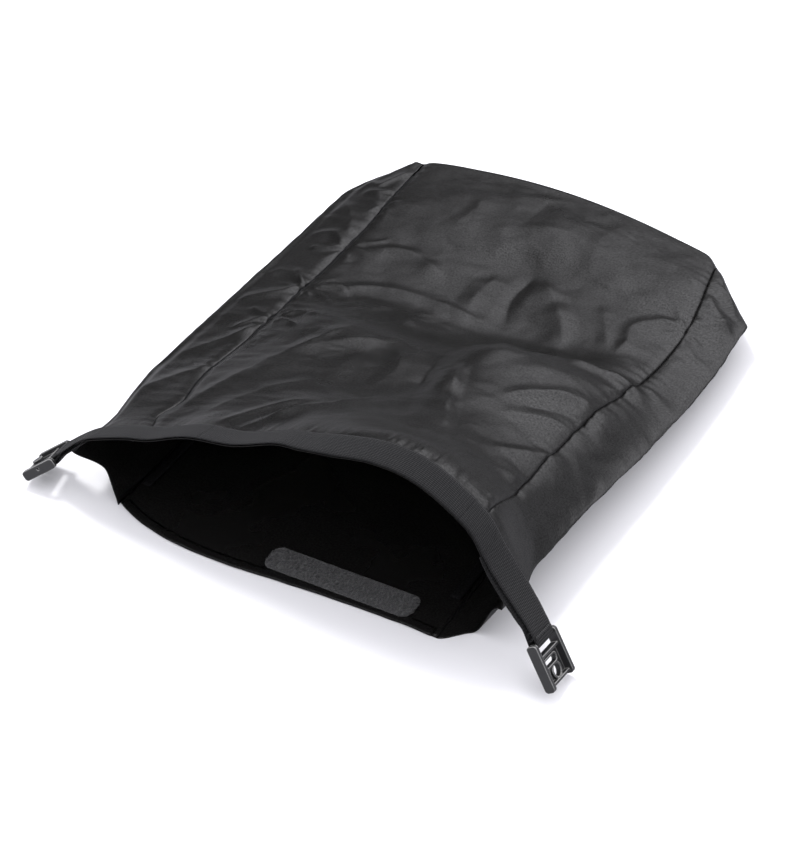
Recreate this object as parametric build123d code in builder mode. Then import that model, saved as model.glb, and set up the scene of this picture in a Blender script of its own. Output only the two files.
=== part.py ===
from build123d import *
from math import cos, sin, radians, sqrt
import os

# Roll-top shoe bag, open and draped, lying on its back panel. Millimetres, +Z up.
# The origin is on the floor at the middle of the back panel; the mouth faces -Y.

# --- bag body ---------------------------------------------------------------
mouth_y = -200.0          # chord of the open mouth
far_y = 246.0             # far seam at the left; the right end is nearer by the skew
skew = 0.08               # the far seam runs askew: y drops this much per mm of x
wall = 0.6                # coated nylon, drawn thick enough to hold as a solid
seam_gap = 0.12           # half the stitched gap between neighbouring panels
clear = 0.35              # room between layers sewn on top of each other
side_half = 187.0         # side crease from the middle
back_half = 138.0         # back seam from the middle
crease_left = 30.0        # height of the side creases above the floor
crease_right = 38.0
crease_far = 25.0
plateau_z = 40.0          # folded block bottom at the far end

# --- mouth and webbing --------------------------------------------------------
lip_y = -33.0             # outer edge of the front lip, from the mouth chord
lip_inner_y = -8.0        # inner edge of the webbing, from the mouth chord
web_width = 25.0
web_thick = 1.2
arch_x = [-187, -160, -119, -74, -32, 10, 48, 84, 112, 140, 164, 184, 196]
arch_z = [34, 49, 66, 82, 95, 108, 121, 128, 125, 111, 92, 70, 50]
back_lip_y = -42.0        # edge of the back lip, from the mouth chord
tape_width = 25.0
tape_from, tape_to = -8.0, 112.0
binding_width = 8.0
binding_thick = 0.8

# --- buckles ------------------------------------------------------------------
frame_w = 32.0
frame_h = 8.0
rail_t = 3.0
socket_len = 36.0
plug_len = 30.0
bar_r = 1.75
bar_u = 3.0
hole_r = 4.5
stud_r = 4.3
loop_gap = 0.2            # webbing loop to bar

os.makedirs("parts", exist_ok=True)


def lerp_table(xs, zs, x):
    """Height of a smooth curve through a few points."""
    if x <= xs[0]:
        return zs[0]
    for i in range(len(xs) - 1):
        if x <= xs[i + 1]:
            t = (x - xs[i]) / (xs[i + 1] - xs[i])
            m0 = (zs[i + 1] - zs[max(i - 1, 0)]) / (xs[i + 1] - xs[max(i - 1, 0)])
            j = min(i + 2, len(xs) - 1)
            m1 = (zs[j] - zs[i]) / (xs[j] - xs[i])
            d = xs[i + 1] - xs[i]
            a = (2 * t**3 - 3 * t**2 + 1) * zs[i] + (t**3 - 2 * t**2 + t) * m0 * d
            return a + (-2 * t**3 + 3 * t**2) * zs[i + 1] + (t**3 - t**2) * m1 * d
    return zs[-1]


def smooth(t):
    t = max(0.0, min(1.0, t))
    return t * t * (3 - 2 * t)


def near_mouth(y):
    """1 at the lips, fading to 0 over the first part of the bag."""
    return 1 - smooth((y - lip_y) / 80.0)


def half_width(y):
    """Side crease from the middle. The far corners are folded in."""
    return side_half - 49.0 * smooth((y - 385.0) / 61.0) ** 0.8


def left_half(y):
    """The left mouth corner is drawn in under the webbing."""
    return half_width(y) - 17.0 * (1 - smooth((y + 33.0) / 110.0))


def right_half(y):
    """The right side is widest a little way in from the mouth."""
    return half_width(y) + 8.0 * (1 - smooth(y / 120.0)) - 12.0 * (1 - smooth((y + 33.0) / 60.0))


def crease_z(y, side):
    near = crease_left + 8.0 * near_mouth(y) if side < 0 else crease_right
    return near + (crease_far - near) * smooth(y / 400.0)


def under_z(t, y, side):
    """Lower gusset from the back seam (t = 0) up to the side crease (t = 1)."""
    hollow = 0.25 * t + 0.75 * t * t
    at_mouth = t**0.7 if side < 0 else 0.1 * t + 0.9 * t**3
    return crease_z(y, side) * (hollow + (at_mouth - hollow) * near_mouth(y))


def top_z(x, y):
    """Height of the draped upper side over the contents, y from the mouth chord."""
    arch = lerp_table(arch_x, arch_z, x)
    flare = 7.0 * smooth(-y / 33.0) * smooth((60.0 - x) / 60.0)
    hw = half_width(y)
    side = crease_z(y, x)
    far = side + (plateau_z - side) * smooth((hw - abs(x)) / 48.0)
    heap = 15.0 * smooth(y / 110.0) * (1.0 - smooth((y - 150.0) / 170.0))
    heap = heap * smooth((hw - abs(x)) / 90.0)
    w = smooth(y / 340.0)
    return arch * (1 - w) + far * w + heap + flare


def seam_x(y, side):
    """Front seams lean outwards towards the far end."""
    t = max(y, 0.0) / 446.0
    return -117.0 - 21.0 * t if side < 0 else 157.0 - 19.0 * t


def outline(y):
    """Upper side and both gussets as one row of points, from the left back seam to the right one."""
    hw = left_half(y)
    zl, zr = crease_z(y, -1), crease_z(y, 1)
    right = right_half(y)
    pts = [(-back_half, 0.0)]
    reach = hw - back_half
    pts += [(-back_half - reach * t, under_z(t, y, -1)) for t in (0.35, 0.7, 0.9)]
    steps = 56
    for i in range(steps + 1):
        x = -hw + (right + hw) * i / steps
        edge = smooth((hw + x) / 14.0) * smooth((right - x) / 14.0)
        z = top_z(x, y)
        base = zl if x < 0 else zr
        pts.append((x, base + (max(z, base) - base) * edge))
    reach = right - back_half
    pts += [(back_half + reach * t, under_z(t, y, 1)) for t in (0.9, 0.7, 0.35)]
    pts.append((back_half, 0.0))
    return pts


def lengths(pts):
    s = [0.0]
    for a, b in zip(pts, pts[1:]):
        s.append(s[-1] + sqrt((b[0] - a[0]) ** 2 + (b[1] - a[1]) ** 2))
    return s


def at(pts, s_list, s):
    s = max(0.0, min(s, s_list[-1]))
    for i in range(len(pts) - 1):
        if s <= s_list[i + 1]:
            t = (s - s_list[i]) / max(s_list[i + 1] - s_list[i], 1e-9)
            return (
                pts[i][0] + t * (pts[i + 1][0] - pts[i][0]),
                pts[i][1] + t * (pts[i + 1][1] - pts[i][1]),
            )
    return pts[-1]


def place_of(y, x):
    """Distance along the outline to the upper-side point at x."""
    pts = outline(y)
    s = lengths(pts)
    for i in range(4, len(pts) - 5):
        if pts[i][0] <= x <= pts[i + 1][0]:
            return s[i] + (s[i + 1] - s[i]) * (x - pts[i][0]) / (pts[i + 1][0] - pts[i][0])
    return 0.0


def seam_s(y, side):
    return place_of(y, seam_x(y, side))


def total_s(y):
    return lengths(outline(y))[-1]


def row(y, s0, s1, n, depth):
    """n points along the outline from s0 to s1, moved inwards by depth."""
    pts = outline(y)
    s_list = lengths(pts)
    out = []
    for i in range(n):
        s = s0 + (s1 - s0) * i / (n - 1)
        a = at(pts, s_list, s - 3.0)
        b = at(pts, s_list, s + 3.0)
        p = at(pts, s_list, s)
        d = sqrt((b[0] - a[0]) ** 2 + (b[1] - a[1]) ** 2)
        out.append((p[0] + depth * (b[1] - a[1]) / d, p[1] - depth * (b[0] - a[0]) / d))
    return out


def cut_plane(y):
    """Upright plane across the bag; it turns with the skew towards the far end."""
    k = skew * smooth(y / 446.0)
    return Plane(origin=(0, mouth_y + y, 0), x_dir=(1, -k, 0), z_dir=(-k, -1, 0))


def band(ys, ends, n, d0, d1):
    """Layer between two depths, between two places on the outline, through planes at ys."""
    with BuildPart() as layer:
        for y in ys:
            s0, s1 = ends(y)
            outer = row(y, s0, s1, n, d0)
            inner = row(y, s0, s1, n, d1)
            with BuildSketch(cut_plane(y)):
                with BuildLine():
                    Spline(*outer)
                    Line(outer[-1], inner[-1])
                    Spline(*inner[::-1])
                    Line(inner[0], outer[0])
                make_face()
        loft(ruled=True)
    return layer.part


def save(part, name):
    part.label = name
    export_step(part, "parts/" + name + ".step")


body_ys = [-33, -8, 30, 75, 125, 175, 225, 275, 325, 365, 395, 420, 438, 446]
lip_ys = [-33, -8]
binding_ys = [0, 30, 75, 125, 175, 225, 275, 325, 365, 395, 420]

# --- fabric panels --------------------------------------------------------------
front_panel = band(
    body_ys, lambda y: (seam_s(y, -1) + seam_gap, seam_s(y, 1) - seam_gap), 15, 0, wall
)
save(front_panel, "front_panel")

left_gusset = band(body_ys, lambda y: (1.0, seam_s(y, -1) - seam_gap), 23, 0, wall)
save(left_gusset, "left_gusset")

right_gusset = band(body_ys, lambda y: (seam_s(y, 1) + seam_gap, total_s(y) - 1.0), 21, 0, wall)
save(right_gusset, "right_gusset")


def far_line(x, inset=0.0):
    return mouth_y + 446.0 - skew * x - inset


def back_outline(inset=0.0):
    """Plan of the back panel; the lip bows forward in the middle."""
    h = back_half - inset
    front = mouth_y + back_lip_y + inset
    return [
        (-h, mouth_y - 16.0),
        (-100.0, front + 2.0),
        (-40.0, front),
        (120.0, front),
        (h, mouth_y - 34.0),
        (h, far_line(h, inset)),
        (-h, far_line(-h, inset)),
    ]


with BuildPart() as back_panel:
    with BuildSketch():
        with BuildLine():
            Polyline(*back_outline(1.2), close=True)
        make_face()
    extrude(amount=wall)
save(back_panel.part, "back_panel")

end_plane = cut_plane(446)
with BuildPart() as base_panel:
    with BuildSketch(end_plane.offset(-0.3 - wall)):
        with BuildLine():
            rim = row(446, 2.0, total_s(446) - 2.0, 41, 0.3)
            Polyline(*rim, close=True)
        make_face()
    extrude(amount=wall)
save(base_panel.part, "base_panel")

# --- lips -----------------------------------------------------------------------
centre_from, centre_to = -60.0, 150.0
lip_left_end, lip_right_end = -155.0, 168.0


def lip_span(a, b):
    return lambda y: (place_of(y, a), place_of(y, b))


front_lip_webbing = band(
    lip_ys, lip_span(centre_from + 0.3, centre_to - 0.3), 15, -clear, -clear - web_thick
)
save(front_lip_webbing, "front_lip_webbing")

left_lip_webbing = band(
    lip_ys, lip_span(lip_left_end, centre_from - 0.3), 15, -clear, -clear - web_thick
)
save(left_lip_webbing, "left_lip_webbing")

right_lip_webbing = band(
    lip_ys, lip_span(centre_to + 0.3, lip_right_end), 9, -clear, -clear - web_thick
)
save(right_lip_webbing, "right_lip_webbing")

tape_y0 = mouth_y + back_lip_y + 5.5
with BuildPart() as hook_tape:
    with BuildSketch(Plane.XY.offset(2 * (wall + clear))):
        with Locations(((tape_from + tape_to) / 2, tape_y0 + tape_width / 2)):
            RectangleRounded(tape_to - tape_from, tape_width, 6.0)
    extrude(amount=1.4)
save(hook_tape.part, "hook_tape")

loop_tape = band(
    [-31, -10], lip_span(tape_from, tape_to), 15, wall + 2 * clear, wall + 2 * clear + 1.6
)
save(loop_tape, "loop_tape")

with BuildPart() as back_lip_hem:
    with BuildSketch(Plane.XY.offset(wall + clear)):
        lip = back_outline(1.4)[:5]
        with BuildLine():
            Polyline(*lip, *[(x, y + binding_width) for x, y in lip[::-1]], close=True)
        make_face()
    extrude(amount=wall)
save(back_lip_hem.part, "back_lip_hem")

# --- seam bindings, inside --------------------------------------------------------
half_bind = binding_width / 2
inner = wall + 2 * clear
front_left_binding = band(
    binding_ys, lambda y: (seam_s(y, -1) - half_bind, seam_s(y, -1) + half_bind), 5, inner, inner + binding_thick
)
save(front_left_binding, "front_left_binding")

front_right_binding = band(
    binding_ys, lambda y: (seam_s(y, 1) - half_bind, seam_s(y, 1) + half_bind), 5, inner, inner + binding_thick
)
save(front_right_binding, "front_right_binding")

for side, label in ((-1, "back_left_binding"), (1, "back_right_binding")):
    x_in = side * (back_half - 3.0 - binding_width)
    x_out = side * (back_half - 3.0)
    with BuildPart() as back_binding:
        with BuildSketch(Plane.XY.offset(wall + clear)):
            with BuildLine():
                Polyline(
                    (x_in, mouth_y + 0.0),
                    (x_out, mouth_y + 0.0),
                    (x_out, far_line(x_out, 14.0)),
                    (x_in, far_line(x_in, 14.0)),
                    close=True,
                )
            make_face()
        extrude(amount=binding_thick)
    save(back_binding.part, label)

with BuildPart() as base_binding:
    with BuildSketch(end_plane.offset(2.5)):
        with BuildLine():
            ring_out = row(446, 18.0, total_s(446) - 18.0, 33, inner + 2.0)
            ring_in = row(446, 18.0, total_s(446) - 18.0, 33, inner + 2.0 + binding_thick)
            Polyline(*ring_out, *ring_in[::-1], close=True)
        make_face()
    extrude(amount=binding_width)
save(base_binding.part, "base_binding")

# --- buckle placement ---------------------------------------------------------------
# u runs from the webbing bar to the tip, v across the frame, w out of the open face.


def frame_plane(origin, u, w):
    return Plane(origin=origin, x_dir=u, z_dir=w)


left_at = frame_plane((-193.0, mouth_y - 20.0, 27.2), (-0.76, -0.235, -0.606), (-0.62, 0.02, 0.784))
right_at = frame_plane((221.4, mouth_y - 40.2, 37.9), (0.53, -0.128, -0.838), (0.846, 0.08, 0.527))


def bare_frame(length):
    """Two side rails with rounded ends joined by the webbing bar, built flat."""
    with BuildPart() as frame:
        for side in (-1, 1):
            with BuildSketch(Plane.XZ.offset(side * (frame_w / 2 - rail_t / 2))):
                with Locations((length / 2, -frame_h / 2)):
                    RectangleRounded(length, frame_h, 2.6)
            extrude(amount=rail_t / 2, both=True)
        with BuildSketch(Plane.XZ):
            with Locations((bar_u, -frame_h / 2)):
                Circle(bar_r)
        extrude(amount=frame_w / 2 - rail_t / 2, both=True)
    return frame.part


inner_w = frame_w - 2 * rail_t
with BuildPart() as socket_flat:
    add(bare_frame(socket_len))
    # back plate with its end bar and crossbar
    with BuildSketch(Plane.XY.offset(-frame_h)):
        with Locations((22.5, 0)):
            Rectangle(23.0, inner_w + 1.0)
    extrude(amount=2.0)
    with BuildSketch(Plane.XY.offset(-frame_h)):
        with Locations((12.0, 0), (33.0, 0)):
            Rectangle(2.0, inner_w + 1.0)
    extrude(amount=5.5)
    # rim of the D-shaped slot and ring round the latch hole
    with BuildSketch(Plane.XY.offset(-frame_h)):
        with Locations((18.6, -2.0)):
            RectangleRounded(7.6, 20.0, 3.0)
        with Locations((27.0, 1.5)):
            Circle(hole_r + 1.6)
    extrude(amount=4.2)
    with BuildSketch(Plane.XY.offset(-frame_h - 1)):
        with Locations((18.6, -2.0)):
            RectangleRounded(5.0, 17.4, 2.2)
        with Locations((27.0, 1.5)):
            Circle(hole_r)
    extrude(amount=frame_h, mode=Mode.SUBTRACT)
socket = right_at.from_local_coords(socket_flat.part)
save(socket, "buckle_socket")

tongue_u0, tongue_u1, tongue_half = 12.5, 27.5, 5.0
slit = 0.8
with BuildPart() as plug_flat:
    add(bare_frame(plug_len))
    with BuildSketch(Plane.XY.offset(-frame_h + 2.5)):
        with Locations((20.0, 0)):
            Rectangle(19.0, inner_w + 1.0)
    extrude(amount=2.0)
    with BuildSketch(Plane.XY.offset(-frame_h + 1.0)):
        with Locations((11.0, 0), (29.0, 0)):
            Rectangle(1.6, inner_w + 1.0)
    extrude(amount=5.0)
    # opening the spring tongue sits in
    with BuildSketch(Plane.XY.offset(-frame_h)):
        with Locations(((tongue_u0 + tongue_u1) / 2, 0)):
            Rectangle(tongue_u1 - tongue_u0, 2 * (tongue_half + slit))
    extrude(amount=frame_h, mode=Mode.SUBTRACT)
    # small release hole through both rails
    with BuildSketch(Plane.XZ):
        with Locations((15.0, -3.0)):
            Circle(1.2)
    extrude(amount=frame_w, both=True, mode=Mode.SUBTRACT)
    # pivot rod of the latch
    with BuildSketch(Plane.XZ):
        with Locations((tongue_u0 + 2.0, -4.5)):
            Circle(0.9)
    extrude(amount=tongue_half + slit + 1.0, both=True)
plug = left_at.from_local_coords(plug_flat.part)
save(plug, "buckle_plug")

with BuildPart() as latch_flat:
    with BuildSketch(Plane.XZ):
        with Locations((tongue_u0 + 2.0, -4.5)):
            Circle(1.7)
        with Locations(((tongue_u0 + tongue_u1) / 2 + 0.6, -4.5)):
            Rectangle(tongue_u1 - tongue_u0 - 4.2, 1.6)
        with Locations((tongue_u0 + 2.0, -4.5)):
            Circle(1.0, mode=Mode.SUBTRACT)
    extrude(amount=tongue_half, both=True)
    with BuildSketch(Plane.XY.offset(-4.5)):
        with Locations((22.4, 0)):
            Circle(stud_r)
    extrude(amount=5.0)
latch = left_at.from_local_coords(latch_flat.part)
save(latch, "buckle_latch")

# --- webbing tails: two plies from the lip to a loop round each buckle bar --------------
ply = 2.6
loop_in = bar_r + loop_gap
loop_out = loop_in + web_thick


def local_point(place, u, v, w):
    return place.from_local_coords(Vector(u, v, w))


def web_end(x, ahead):
    """Middle, width direction and travel direction of the lip webbing at x."""
    y = (lip_y + lip_inner_y) / 2
    lift = clear + 0.2 + ply / 2
    p = row(y, place_of(y, x), place_of(y, x) + 1.0, 2, -lift)[0]
    q = row(y, place_of(y, x + ahead), place_of(y, x + ahead) + 1.0, 2, -lift)[0]
    a = row(lip_y, place_of(lip_y, x), place_of(lip_y, x) + 1.0, 2, -lift)[0]
    b = row(lip_inner_y, place_of(lip_inner_y, x), place_of(lip_inner_y, x) + 1.0, 2, -lift)[0]
    middle = Vector(p[0], mouth_y + y, p[1])
    across = Vector(b[0] - a[0], lip_inner_y - lip_y, b[1] - a[1]).normalized()
    along = Vector(q[0] - p[0], 0, q[1] - p[1]).normalized()
    return middle, across, along


tail_specs = (
    ("left_tail_webbing", left_at, -1, lip_left_end, -6.0),
    ("right_tail_webbing", right_at, 1, lip_right_end, 4.0),
)
for label, place, v_sign, x_end, ahead in tail_specs:
    middle, across, along = web_end(x_end, ahead)
    start = middle + along * 3.8 + Vector(0.8 * v_sign, 0, 1.2)
    turn = local_point(place, bar_u - 7.5, 0, -frame_h / 2)
    hump = (start + turn) * 0.5 + Vector(1.5 * v_sign, 0, 6.5)
    mid_across = (across + place.y_dir * v_sign).normalized()
    with BuildPart() as tail:
        with BuildSketch(Plane(origin=start, x_dir=across, z_dir=along)):
            Rectangle(web_width, ply)
        with BuildSketch(Plane(origin=hump, x_dir=mid_across, z_dir=(turn - start).normalized())):
            Rectangle(web_width, ply)
        for back in (7.5, loop_in + 0.7):
            spot = local_point(place, bar_u - back, 0, -frame_h / 2)
            with BuildSketch(Plane(origin=spot, x_dir=place.y_dir * v_sign, z_dir=place.x_dir)):
                Rectangle(web_width, ply)
        loft(ruled=True)
        centre = local_point(place, bar_u, 0, -frame_h / 2)
        with BuildSketch(Plane(origin=centre, x_dir=place.x_dir, z_dir=place.y_dir)):
            Circle(loop_out)
            Circle(loop_in, mode=Mode.SUBTRACT)
        extrude(amount=web_width / 2, both=True)
        with BuildSketch(Plane(origin=centre, x_dir=place.x_dir, z_dir=place.y_dir)):
            Circle(loop_in)
        extrude(amount=web_width, both=True, mode=Mode.SUBTRACT)
    save(tail.part, label)

    # bar tack across both plies: a row of thread stitches proud of the webbing
    with BuildPart() as tack:
        spot = local_point(place, bar_u - 6.0, 0, -frame_h / 2 + ply / 2 + 0.1)
        with BuildSketch(Plane(origin=spot, x_dir=place.x_dir, z_dir=place.z_dir)):
            with GridLocations(2.2, 2.6, 2, 8):
                RectangleRounded(0.7, 1.9, 0.3)
        extrude(amount=0.4)
    name = label.replace("_webbing", "_bartack")
    save(tack.part, name)
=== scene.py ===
import math

import bpy
import numpy as np
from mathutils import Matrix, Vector


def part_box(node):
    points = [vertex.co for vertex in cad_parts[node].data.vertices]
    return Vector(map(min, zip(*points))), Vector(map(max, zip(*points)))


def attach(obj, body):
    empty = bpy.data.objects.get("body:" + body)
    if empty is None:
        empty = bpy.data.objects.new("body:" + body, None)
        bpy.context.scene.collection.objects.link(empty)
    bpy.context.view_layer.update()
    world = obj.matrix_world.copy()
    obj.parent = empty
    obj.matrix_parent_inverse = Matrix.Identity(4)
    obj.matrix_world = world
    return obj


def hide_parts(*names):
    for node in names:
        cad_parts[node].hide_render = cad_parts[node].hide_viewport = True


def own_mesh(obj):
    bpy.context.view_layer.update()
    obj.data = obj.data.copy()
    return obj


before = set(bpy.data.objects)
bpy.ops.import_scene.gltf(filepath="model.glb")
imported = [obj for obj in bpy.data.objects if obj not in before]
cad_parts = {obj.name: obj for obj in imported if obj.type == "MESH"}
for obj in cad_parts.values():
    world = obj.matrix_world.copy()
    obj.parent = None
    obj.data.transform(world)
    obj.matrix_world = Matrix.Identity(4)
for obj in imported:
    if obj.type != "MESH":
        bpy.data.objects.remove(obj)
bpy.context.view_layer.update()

# Shapes are worked out in millimetres, x across the bag, y from the chord of the mouth towards
# the far end and z up, and are taken to the frame when a mesh is made.
MM = 0.001
MOUTH = -200.0          # chord of the mouth in the frame
LIP_Y = -33.0           # front lip, ahead of that chord
PEAK = 129.7            # top of the arched lip
BACK_HALF = 138.0       # back panel, from its middle to its seams
FAR_Y = 437.0           # far seam at the middle of the bag, before its bow
SKEW = 0.08             # the far seam runs askew
rng = np.random.default_rng(7)


# ---------------------------------------------------------------- small maths
def smooth(t):
    t = np.clip(t, 0.0, 1.0)
    return t * t * (3 - 2 * t)


def lerp(a, b, t):
    return a + (b - a) * t


def cubic(z0, m0, z1, m1, d, t):
    """Smooth step over a length d between two values with given slopes."""
    start = (2 * t**3 - 3 * t**2 + 1) * z0 + (t**3 - 2 * t**2 + t) * m0 * d
    return start + (-2 * t**3 + 3 * t**2) * z1 + (t**3 - t**2) * m1 * d


def spline1(xs, zs, x):
    """Smooth curve through a few points, held flat past the ends."""
    xs, zs, x = np.asarray(xs, float), np.asarray(zs, float), np.asarray(x, float)
    m = np.gradient(zs, xs)
    i = np.clip(np.searchsorted(xs, x) - 1, 0, len(xs) - 2)
    d = xs[i + 1] - xs[i]
    return cubic(zs[i], m[i], zs[i + 1], m[i + 1], d, np.clip((x - xs[i]) / d, 0, 1))


def wander(x, y, scale, seed):
    """Gentle random field, about -1 to 1."""
    r = np.random.default_rng(seed)
    out = np.zeros(np.broadcast(x, y).shape)
    for _ in range(9):
        a = r.uniform(0, 2 * math.pi)
        k = 2 * math.pi / scale * r.uniform(0.6, 1.6)
        out = out + np.sin(k * (x * math.cos(a) + y * math.sin(a)) + r.uniform(0, 6.28))
    return out / 3.6


# ---------------------------------------------------------------- bag shape
ARCH_X = [-187, -160, -119, -74, -32, 10, 48, 84, 112, 140, 164, 184, 196]
ARCH_Z = [34, 49, 66, 82, 95, 108, 121, 128, 125, 111, 92, 70, 50]


def half_left(y):
    """Side crease on the left, from the middle: drawn in at the mouth, folded in at the far end."""
    end = 26.0 * np.clip((y - 385.0) / 62.0, 0, 1) ** 1.5
    return 184.5 - 12.5 * (1 - smooth((y + 10.0) / 110.0)) - end


def half_right(y):
    """Side crease on the right, with a small flare at the mouth corner."""
    end = 54.0 * np.clip((y - 376.0) / 60.0, 0, 1) ** 1.05
    corner = 4.0 * np.exp(-(((y + 6.0) / 16.0) ** 2))
    return 184.0 + 12 * smooth(y / 260.0) - 4.0 * smooth((y - 300) / 90) - end + corner


def far_y(x):
    """Far seam: askew, and bowed out in the middle."""
    return FAR_Y - SKEW * x + 14.0 * (1 - (x / 139.0) ** 2)


def back_lip(x):
    """Lip of the back panel, a little ahead of the front one."""
    xs = [-138, -120, -90, -40, 20, 70, 120, 138]
    return spline1(xs, [-24, -33, -42, -46, -43, -41, -41, -42], x)


def near_mouth(y):
    """1 at the lips, fading to 0 over the first part of the bag."""
    return 1 - smooth((y - LIP_Y) / 80.0)


def crease_left(y):
    """Height of the side crease on the left."""
    return lerp(31.0, 24.0, smooth(y / 400.0)) + 11.0 * near_mouth(y)


def crease_right(y):
    return lerp(39.0, 24.0, smooth(y / 330.0))


def seam_left(y):
    ys = [-33, -4, 18, 28, 40, 60, 75, 150, 260, 340, 446]
    return spline1(ys, [-116, -119, -126, -123, -121, -126, -130, -131, -135, -134, -139], y)


def seam_right(y):
    ys = [-40, 0, 27, 53, 84, 131, 170, 226, 300, 332, 409, 446]
    return spline1(ys, [158, 159, 157, 155, 154, 154, 155, 158, 160, 159, 147, 139], y)


# height of the upper side, in columns across (x) and rows away from the mouth (y)
DRAPE_X = (-185, -130, -85, -35, 15, 62, 100, 130, 152, 190)
DRAPE = {
    50: (38, 56, 71, 84, 93, 100, 101, 92, 79, 48),
    95: (33, 50, 66, 73, 77, 88, 87, 80, 71, 43),
    140: (30, 46, 61, 67, 71, 84, 83, 76, 66, 38),
    185: (28, 42, 55, 61, 63, 79, 79, 73, 62, 34),
    225: (26, 38, 42, 44, 43, 50, 54, 55, 49, 31),
    255: (25, 35, 37, 38, 36, 38, 42, 45, 42, 29),
    300: (25, 35, 38, 39, 38, 41, 41, 40, 38, 28),
    345: (25, 37, 41, 42, 41, 43, 43, 42, 40, 27),
    365: (25, 39, 44, 46, 47, 47, 46, 45, 42, 26),
    450: (24, 38, 42, 45, 46, 45, 43, 41, 38, 24),
}


def drape(x, y):
    """Smooth upper side: the arched mouth, two shoe-sized mounds and the stiff folded bottom."""
    flare = 7.0 * smooth((60.0 - x) / 60.0)
    wave = 2.0 * np.cos((x + 70.0) / 12.4) * smooth((x + 130.0) / 30.0) * smooth((35.0 - x) / 30.0)
    arch = spline1(ARCH_X, ARCH_Z, x) + wave
    rows = [arch + flare, arch] + [spline1(DRAPE_X, row, x) for row in DRAPE.values()]
    ys = np.array([LIP_Y, 0.0] + list(DRAPE), float)
    Z = np.stack(rows)
    M = np.gradient(Z, ys, axis=0)
    i = np.clip(np.searchsorted(ys, y) - 1, 0, len(ys) - 2)
    d = ys[i + 1] - ys[i]

    def pick(A, k):
        return np.take_along_axis(A, k[None], 0)[0]

    t = np.clip((y - ys[i]) / d, 0, 1)
    return cubic(pick(Z, i), pick(M, i), pick(Z, i + 1), pick(M, i + 1), d, t)


def fold(x, y, points, height, left, right, fade=0.25):
    """Crisp crest along a curve, with straight flanks of two widths."""
    pts = np.array(points, float)
    s = np.linspace(0, 1, len(pts))
    q = np.linspace(0, 1, 8 * (len(pts) - 1) + 1)
    px, py = spline1(s, pts[:, 0], q), spline1(s, pts[:, 1], q)
    best = np.full(x.shape, 1e9)
    side = np.zeros(x.shape)
    where = np.zeros(x.shape)
    for k in range(len(q) - 1):
        ax, ay, bx, by = px[k], py[k], px[k + 1], py[k + 1]
        dx, dy = bx - ax, by - ay
        t = np.clip(((x - ax) * dx + (y - ay) * dy) / (dx * dx + dy * dy), 0, 1)
        d = np.hypot(x - ax - dx * t, y - ay - dy * t)
        near = d < best
        best = np.where(near, d, best)
        side = np.where(near, dx * (y - ay) - dy * (x - ax), side)
        where = np.where(near, q[k] + t / (len(q) - 1), where)
    width = np.where(side > 0, left, right)
    p = np.clip(1 - best / width, 0, 1)
    uneven = 0.8 + 0.3 * wander(x, y, 46.0, int(10 * abs(points[0][0])) + 7)
    return height * uneven * p**1.5 * smooth(where / fade) * smooth((1 - where) / fade)


def star(x, y, cx, cy, count, radius, height, turn):
    """Puckers that radiate from a gathered point of a seam."""
    dx, dy = x - cx, y - cy
    rr = np.hypot(dx, dy)
    angle = np.arctan2(dy, dx) * count / 2 + turn + 0.02 * rr
    crest = 1 - np.abs(np.sin(angle))
    r = rr / radius
    return height * (crest - 0.35) * r * np.exp(1 - r - 0.4 * r * r)


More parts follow.
